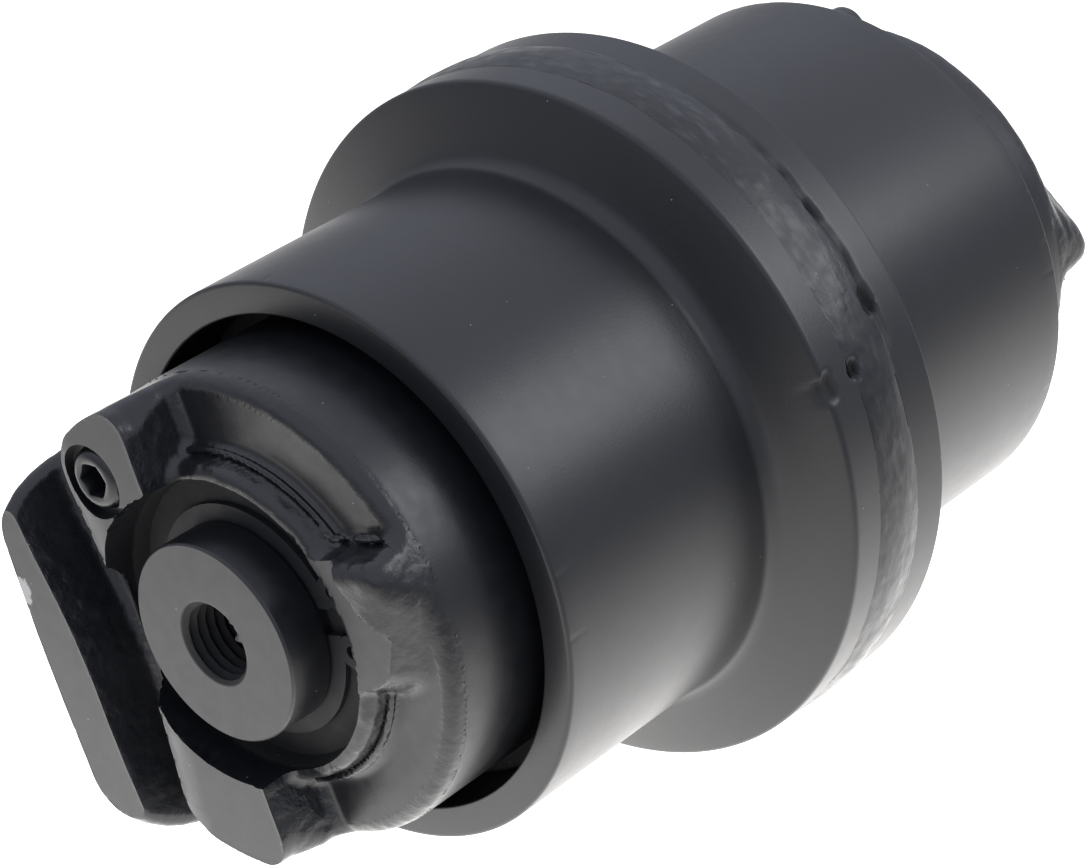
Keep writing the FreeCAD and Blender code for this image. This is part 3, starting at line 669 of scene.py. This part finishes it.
def plug():
    """A domed screw plug with a hexagon socket, as rings of points from the socket outwards."""
    segments = PLUG_SEGMENTS
    angles = np.linspace(0, 2 * math.pi, segments, endpoint=False)
    sector = (angles - HEX_TURN) % (math.pi / 3) - math.pi / 6
    hexagon = HEX_FLATS / 2 / np.cos(sector)
    # (share of the way from the hexagon to a circle, circle radius, depth below the end plane)
    rings = (
        (0.0, 0, HEX_DEPTH),
        (0.0, 0, 0.75),
        (0.35, 3.5, 0.45),
        (0.9, 3.75, 0.32),
        (1, 4.1, 0.3),
        (1, 4.5, 0.4),
        (1, 4.95, 0.62),
        (1, 5.35, 0.95),
        (1, 5.65, 1.35),
        (1, 5.85, 1.9),
        (1, PLUG_RADIUS, 2.5),
        (1, PLUG_RADIUS, PLUG_LENGTH),
    )
    places = []
    for share, circle, depth in rings:
        radius = hexagon * (1 - share) + circle * share
        out = np.full(segments, AXLE_END - depth)
        places.append(np.stack([radius * np.cos(angles), out, radius * np.sin(angles)], -1))
    places = np.concatenate(places)
    places[:, 0] += PLUG_PLACE[0]
    places[:, 2] += PLUG_PLACE[1]
    count = len(rings)
    row = np.arange(count - 1)[:, None] * segments
    ring = np.arange(segments)[None]
    after = (ring + 1) % segments
    faces = np.stack([row + ring, row + after, row + segments + after, row + segments + ring], -1)
    faces = [list(f) for f in faces.reshape(-1, 4)]
    faces.append(list(range(segments))[::-1])
    faces.append(list(range((count - 1) * segments, count * segments)))
    places[:, 1] *= -1
    places = places @ np.array(Matrix.Rotation(COLLAR_TURN, 3, "Y")).T
    return new_piece(
        "socket_plug", places, faces, "axle_assembly", ["oil_plug"], crease=32
    )


# ---------------------------------------------------------------- axle


def thread_radius(along, angle, end):
    """Wall of the tapped hole: a 60 degree thread that runs out at the countersink."""
    phase = (along * end / THREAD_PITCH - end * angle / (2 * math.pi)) % 1.0
    tooth = np.clip(np.abs(phase - 0.5) * 2 * 1.16, 0, 1)
    wall = THREAD_MINOR + (THREAD_MAJOR - THREAD_MINOR) * tooth
    depth = AXLE_END - along
    return np.maximum(wall, THREAD_MOUTH - depth * 2)


def axle():
    """The axle as one closed strip of rings, from the bottom of one tapped hole to the other's."""
    segments = AXLE_SEGMENTS
    angles = np.linspace(0, 2 * math.pi, segments, endpoint=False)
    outside = [
        (AXLE_END, AXLE_RADIUS - 0.4),
        (AXLE_END - 0.3, AXLE_RADIUS - 0.07),
        (AXLE_END - 0.6, AXLE_RADIUS),
        (CLIP_GROOVE[1], AXLE_RADIUS),
        (CLIP_GROOVE[1], CLIP_GROOVE_RADIUS),
        (CLIP_GROOVE[0], CLIP_GROOVE_RADIUS),
        (CLIP_GROOVE[0], AXLE_RADIUS),
        (AXLE_SHOULDER, AXLE_RADIUS),
        (AXLE_SHOULDER, JOURNAL_RADIUS - 0.3),
        (AXLE_SHOULDER - 0.3, JOURNAL_RADIUS),
        (RESERVOIR_END, JOURNAL_RADIUS),
        (WAIST_END, WAIST_RADIUS),
    ]
    bottom = [(AXLE_END - THREAD_DEPTH, THREAD_MINOR), (AXLE_END - THREAD_DEPTH - 4, 0.02)]
    depths = np.arange(0, THREAD_DEPTH - 2.0, 0.16)
    rows = []
    for end in (-1, 1):
        # a torn burr on the right of the near hole
        burr_turn = np.array([math.cos(angle - BURR_ANGLE) for angle in angles])
        torn = np.clip((burr_turn - 0.955) / 0.02, 0, 1) * (end < 0)
        part = [(np.full(segments, out * end), np.full(segments, radius)) for out, radius in bottom[::-1]]
        for depth in depths[::-1]:
            radius = thread_radius(np.full(segments, AXLE_END - depth), angles, end)
            ragged = 0.8 + 1.0 * noise(angles * 9, 0 * angles, 0 * angles + 3.0, 0.9)
            radius = radius - torn * ragged * bump_at(depth, 0.4, 0.9)
            part.append((np.full(segments, (AXLE_END - depth) * end), radius))
        part.append((np.full(segments, AXLE_END * end), np.full(segments, THREAD_MOUTH + 0.12)))
        part += [(np.full(segments, out * end), np.full(segments, radius)) for out, radius in outside]
        rows += part if end < 0 else part[::-1]
    along = np.array([row[0] for row in rows])
    radius = np.array([row[1] for row in rows])
    places = np.stack([radius * np.cos(angles), along, radius * np.sin(angles)], -1)
    count = len(rows)
    row = np.arange(count - 1)[:, None] * segments
    ring = np.arange(segments)[None]
    after = (ring + 1) % segments
    faces = np.stack([row + ring, row + segments + ring, row + segments + after, row + after], -1)
    faces = [list(f) for f in faces.reshape(-1, 4)]
    faces.append(list(range(segments)))
    faces.append(list(range((count - 1) * segments, count * segments))[::-1])
    places = places.reshape(-1, 3)
    piece = new_piece("axle_turned", places, faces, "axle_assembly", ["axle"])
    # the tapped holes, darkened by the paint as painted shade
    mark(piece, "deep", np.hypot(places[:, 0], places[:, 2]) < THREAD_MAJOR + 0.1)
    return piece


# ---------------------------------------------------------------- materials


RANGE_SOCKETS = ("From Min", "From Max", "To Min", "To Max")


class Surface:
    """A Principled material with short ways to add its nodes."""

    def __init__(self, name, color, roughness, metallic=0.0):
        self.material = bpy.data.materials.new(name)
        self.material.use_nodes = True
        self.nodes, self.links = self.material.node_tree.nodes, self.material.node_tree.links
        self.shader = self.nodes["Principled BSDF"]
        self.shader.inputs["Base Color"].default_value = (*color, 1)
        self.shader.inputs["Roughness"].default_value = roughness
        self.shader.inputs["Metallic"].default_value = metallic
        self.place = self.add("ShaderNodeTexCoord").outputs["Object"]
        self.normal = None

    def add(self, kind, **settings):
        node = self.nodes.new(kind)
        for name, value in settings.items():
            setattr(node, name, value)
        return node

    def noise(self, size, detail=3.0, stretch=(1, 1, 1)):
        """Noise from 0 to 1 with features of this size in millimetres."""
        mapping = self.add("ShaderNodeMapping")
        mapping.inputs["Scale"].default_value = stretch
        self.links.new(self.place, mapping.inputs["Vector"])
        texture = self.add("ShaderNodeTexNoise")
        texture.inputs["Scale"].default_value = 1 / (size * MM)
        texture.inputs["Detail"].default_value = detail
        self.links.new(mapping.outputs["Vector"], texture.inputs["Vector"])
        return texture.outputs["Fac"]

    def spread(self, value, low, high, to_low=0.0, to_high=1.0):
        """A value moved from one range to another."""
        node = self.add("ShaderNodeMapRange", interpolation_type="SMOOTHSTEP")
        for socket, number in zip(RANGE_SOCKETS, (low, high, to_low, to_high)):
            node.inputs[socket].default_value = number
        self.links.new(value, node.inputs["Value"])
        return node.outputs["Result"]

    def math(self, operation, a, b):
        """Arithmetic on two values, each a number or another node's output."""
        node = self.add("ShaderNodeMath", operation=operation)
        for socket, value in zip(node.inputs, (a, b)):
            if isinstance(value, (int, float)):
                socket.default_value = value
            else:
                self.links.new(value, socket)
        return node.outputs["Value"]

    def bump(self, height, depth):
        """Fine relief of this depth in millimetres."""
        node = self.add("ShaderNodeBump")
        node.inputs["Distance"].default_value = depth * MM
        node.inputs["Strength"].default_value = 1.0
        self.links.new(height, node.inputs["Height"])
        if self.normal:
            self.links.new(self.normal, node.inputs["Normal"])
        self.normal = node.outputs["Normal"]
        self.links.new(self.normal, self.shader.inputs["Normal"])

    def tint(self, share, color):
        """Another colour where the share is high."""
        node = self.add("ShaderNodeMix", data_type="RGBA")
        socket = self.shader.inputs["Base Color"]
        if socket.is_linked:
            self.links.new(socket.links[0].from_socket, node.inputs["A"])
        else:
            node.inputs["A"].default_value = socket.default_value
        node.inputs["B"].default_value = (*color, 1)
        self.links.new(share, node.inputs["Factor"])
        self.links.new(node.outputs["Result"], socket)

    def gloss(self, roughness):
        self.links.new(roughness, self.shader.inputs["Roughness"])

    def dots(self, spacing, radius, keep):
        """Scattered dots: one in some of the cells of this spacing, both in millimetres."""
        cells = self.add("ShaderNodeTexVoronoi")
        cells.inputs["Scale"].default_value = 1 / (spacing * MM)
        self.links.new(self.place, cells.inputs["Vector"])
        near = self.spread(cells.outputs["Distance"], radius / spacing * 1.3, radius / spacing)
        split = self.add("ShaderNodeSeparateColor")
        self.links.new(cells.outputs["Color"], split.inputs["Color"])
        chosen = self.math("LESS_THAN", split.outputs["Red"], keep)
        return self.math("MULTIPLY", near, chosen)


def black_paint(name, color, roughness, smears=0.5, dust=0.4):
    """Satin black paint: fine grain, cloudy gloss, dust specks, a coarser skin on castings, and painted
    shade in deep recesses and the rim's pits.
    """
    surface = Surface(name, color, roughness)
    cloud = surface.noise(22.0, 4.0)
    fine_cloud = surface.noise(3.5, 5.0)
    swing = 0.05 * smears
    gloss = surface.spread(cloud, 0.3, 0.7, roughness - swing, roughness + swing)
    ripple = surface.spread(fine_cloud, 0.3, 0.7, -0.06 * smears, 0.08 * smears)
    cast = surface.add("ShaderNodeAttribute", attribute_name="cast").outputs["Fac"]
    deep = surface.add("ShaderNodeAttribute", attribute_name="deep").outputs["Fac"]
    pit_depth = surface.add("ShaderNodeAttribute", attribute_name="pit_depth").outputs["Fac"]
    # where shade is painted, and gloss dulled: deep recesses and the rim's pits
    painted_shade_mask = surface.math("MAXIMUM", deep, pit_depth)
    duller, glossier = surface.math("MULTIPLY", painted_shade_mask, 0.4), surface.math("MULTIPLY", cast, 0.06)
    change = surface.math("SUBTRACT", duller, glossier)
    surface.gloss(surface.math("ADD", surface.math("ADD", gloss, ripple), change))
    pale = surface.spread(surface.noise(9.0, 5.0), 0.45, 0.8, 0.0, 0.35)
    surface.tint(pale, tuple(c * 1.7 for c in color))
    # painted shade: deep recesses and the rim's pits darkened towards SHADE
    surface.tint(surface.math("MULTIPLY", painted_shade_mask, 0.8), SHADE)
    surface.tint(surface.dots(4.5, 0.12, dust), DUST)
    surface.tint(surface.dots(14.0, 0.3, 0.3), DARK_SPECK)
    surface.bump(surface.noise(0.55, 2.0), 0.018)
    coarse = surface.math("MULTIPLY", surface.noise(1.5, 4.0), cast)
    surface.bump(coarse, 0.13)
    return surface


def collar_paint():
    """The casting's paint, with a chip to bright metal on the outer edge of the near rib."""
    surface = black_paint("collar_black", PAINT, 0.33)
    apart = surface.add("ShaderNodeVectorMath", operation="DISTANCE")
    surface.links.new(surface.place, apart.inputs[0])
    apart.inputs[1].default_value = Matrix.Rotation(COLLAR_TURN, 3, "Y") @ Vector(CHIP_PLACE) * MM
    ragged = surface.math("MULTIPLY", surface.noise(2.2, 4.0), 0.0050)
    reach_out = surface.math("SUBTRACT", apart.outputs["Value"], ragged)
    surface.tint(surface.spread(reach_out, 0.0010, 0.0004), CHIP)
    return surface.material


def axle_paint():
    """Paint with a few bright specks."""
    surface = black_paint("axle_black", PAINT, 0.36, dust=0.5)
    surface.tint(surface.dots(5.0, 0.24, 0.22), BARE_SPECK)
    return surface.material


def weld_paint():
    """Paint over the ground weld: streaks round the rim and glossy runs."""
    surface = black_paint("weld_black", PAINT, 0.33, smears=1.0)
    streaks = surface.noise(5.0, 6.0, (1.0, 2.6, 1.0))
    surface.tint(surface.spread(streaks, 0.5, 0.72, 0.0, 0.75), WELD_STREAK)
    surface.bump(streaks, 0.12)
    return surface.material


def turned_metal(name, color, roughness, metallic=1.0):
    """Bare metal with fine turning rings and a little staining."""
    surface = Surface(name, color, roughness, metallic)
    stain = surface.spread(surface.noise(6.0, 5.0), 0.4, 0.75, 0.0, 0.5)
    surface.tint(stain, tuple(c * 0.6 for c in color))
    surface.gloss(surface.spread(surface.noise(3.0, 4.0), 0.3, 0.7, roughness - 0.06, roughness + 0.1))
    surface.bump(surface.noise(0.4, 2.0, (0.15, 1.0, 0.15)), 0.01)
    return surface.material


def seal_rubber():
    """Dull black rubber with paler patches."""
    surface = Surface("rubber_black", (0.018, 0.018, 0.018), 0.65)
    surface.tint(surface.spread(surface.noise(2.5, 4.0), 0.5, 0.8, 0.0, 0.5), (0.04, 0.04, 0.038))
    surface.bump(surface.noise(0.3, 3.0), 0.02)
    return surface.material


def dress(thing, material):
    """One material on the whole of an object."""
    thing.data.materials.clear()
    thing.data.materials.append(material)


# ---------------------------------------------------------------- stage


def stage():
    """A plain pale floor with a painted pool of light: it glows most under the part and fades away from
    it, and the glow also lights the part.
    """
    floor_mesh = bpy.data.meshes.new("floor")
    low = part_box("centre_weld_bead")[0][2] - FLOOR_GAP
    half = FLOOR_HALF_SIZE
    floor_mesh.from_pydata(
        [(-half, -half, low), (half, -half, low), (half, half, low), (-half, half, low)],
        [],
        [(0, 1, 2, 3)],
    )
    floor = bpy.data.objects.new("floor", floor_mesh)
    bpy.context.collection.objects.link(floor)
    surface = Surface("floor_white", FLOOR_COLOR, 0.8)
    length = surface.add("ShaderNodeVectorMath", operation="LENGTH")
    flat = surface.add("ShaderNodeMapping")
    flat.inputs["Scale"].default_value = (1.0, 0.8, 0.0)
    surface.links.new(surface.place, flat.inputs["Vector"])
    surface.links.new(flat.outputs["Vector"], length.inputs[0])
    away = length.outputs["Value"]
    glow = FLOOR_FAR
    for strength, half_way, power in FLOOR_GLOWS:
        fall = surface.math("POWER", surface.math("DIVIDE", away, half_way), power)
        glow = surface.math("ADD", surface.math("DIVIDE", strength, surface.math("ADD", fall, 1.0)), glow)
    surface.shader.inputs["Emission Color"].default_value = (*FLOOR_LIGHT, 1)
    surface.links.new(glow, surface.shader.inputs["Emission Strength"])
    floor.data.materials.append(surface.material)


def studio():
    """Soft light from all round: dim at the horizon, brighter overhead, slightly blue."""
    world = bpy.data.worlds.new("studio")
    bpy.context.scene.world = world
    world.use_nodes = True
    nodes, links = world.node_tree.nodes, world.node_tree.links
    place = nodes.new("ShaderNodeTexCoord")
    split = nodes.new("ShaderNodeSeparateXYZ")
    links.new(place.outputs["Generated"], split.inputs["Vector"])
    rise = nodes.new("ShaderNodeMapRange")
    rise.interpolation_type = "SMOOTHSTEP"
    for socket, number in zip(RANGE_SOCKETS, (-0.05, 0.65, *SKY)):
        rise.inputs[socket].default_value = number
    links.new(split.outputs["Z"], rise.inputs["Value"])
    background = nodes["Background"]
    background.inputs["Color"].default_value = (*SKY_COLOR, 1)
    links.new(rise.outputs["Result"], background.inputs["Strength"])


def soft_box(name, place, aim, size, radiance):
    """A square light at a place, turned towards its aim."""
    data = bpy.data.lights.new(name, "AREA")
    data.shape = "RECTANGLE"
    data.size, data.size_y = size
    data.energy = radiance * math.pi * size[0] * size[1]
    light = bpy.data.objects.new(name, data)
    light.location = place
    light.rotation_mode = "QUATERNION"
    light.rotation_quaternion = (Vector(place) - Vector(aim)).to_track_quat("Z", "Y")
    bpy.context.collection.objects.link(light)


def camera():
    """The photograph's view, from above the near end."""
    back = Vector((
        math.sin(CAMERA_AZIMUTH) * math.cos(CAMERA_ELEVATION),
        -math.cos(CAMERA_AZIMUTH) * math.cos(CAMERA_ELEVATION),
        math.sin(CAMERA_ELEVATION),
    ))
    data = bpy.data.cameras.new("camera")
    data.sensor_width = 36.0
    data.lens = CAMERA_LENS
    view = bpy.data.objects.new("camera", data)
    view.rotation_mode = "QUATERNION"
    view.location = Vector(CAMERA_AIM) + back * CAMERA_DISTANCE
    view.rotation_quaternion = back.to_track_quat("Z", "Y")
    bpy.context.collection.objects.link(view)
    bpy.context.scene.camera = view


# ---------------------------------------------------------------- build

shell_black = black_paint("shell_black", PAINT, 0.34, smears=0.15).material
cast_black = collar_paint()
for side, end in SIDES:
    dress(shell_half(side, end), shell_black)
    dress(collar(side, end, NEAR_STEP if end < 0 else FAR_STEP, port=end < 0), cast_black)
dress(weld_bead(), weld_paint())
dress(axle(), axle_paint())
dress(plug(), black_paint("plug_black", PAINT, 0.3).material)

finishes = {
    "shell_paint": shell_black,
    "weld_paint": shell_black,
    "collar_paint": cast_black,
    "axle_paint": shell_black,
    "plug_paint": shell_black,
    "bronze": turned_metal("bronze", (0.6, 0.42, 0.2), 0.3),
    "seal_iron": turned_metal("seal_iron", (0.33, 0.33, 0.34), 0.25),
    "seal_rubber": seal_rubber(),
    "spring_steel": black_paint("ring_black", PAINT, 0.6).material,
    "pin_steel": turned_metal("pin_steel", (0.35, 0.35, 0.36), 0.3),
}
for row in frame["record"]["subparts"]:
    dress(frame["nodes"][row["node"]], finishes[row["material_slot"]])

stage()
studio()
soft_box("soft_box_right", SOFT_BOX_PLACE, SOFT_BOX_AIM, SOFT_BOX_SIZE, SOFT_BOX)
camera()
bpy.context.scene.view_settings.view_transform = "Standard"
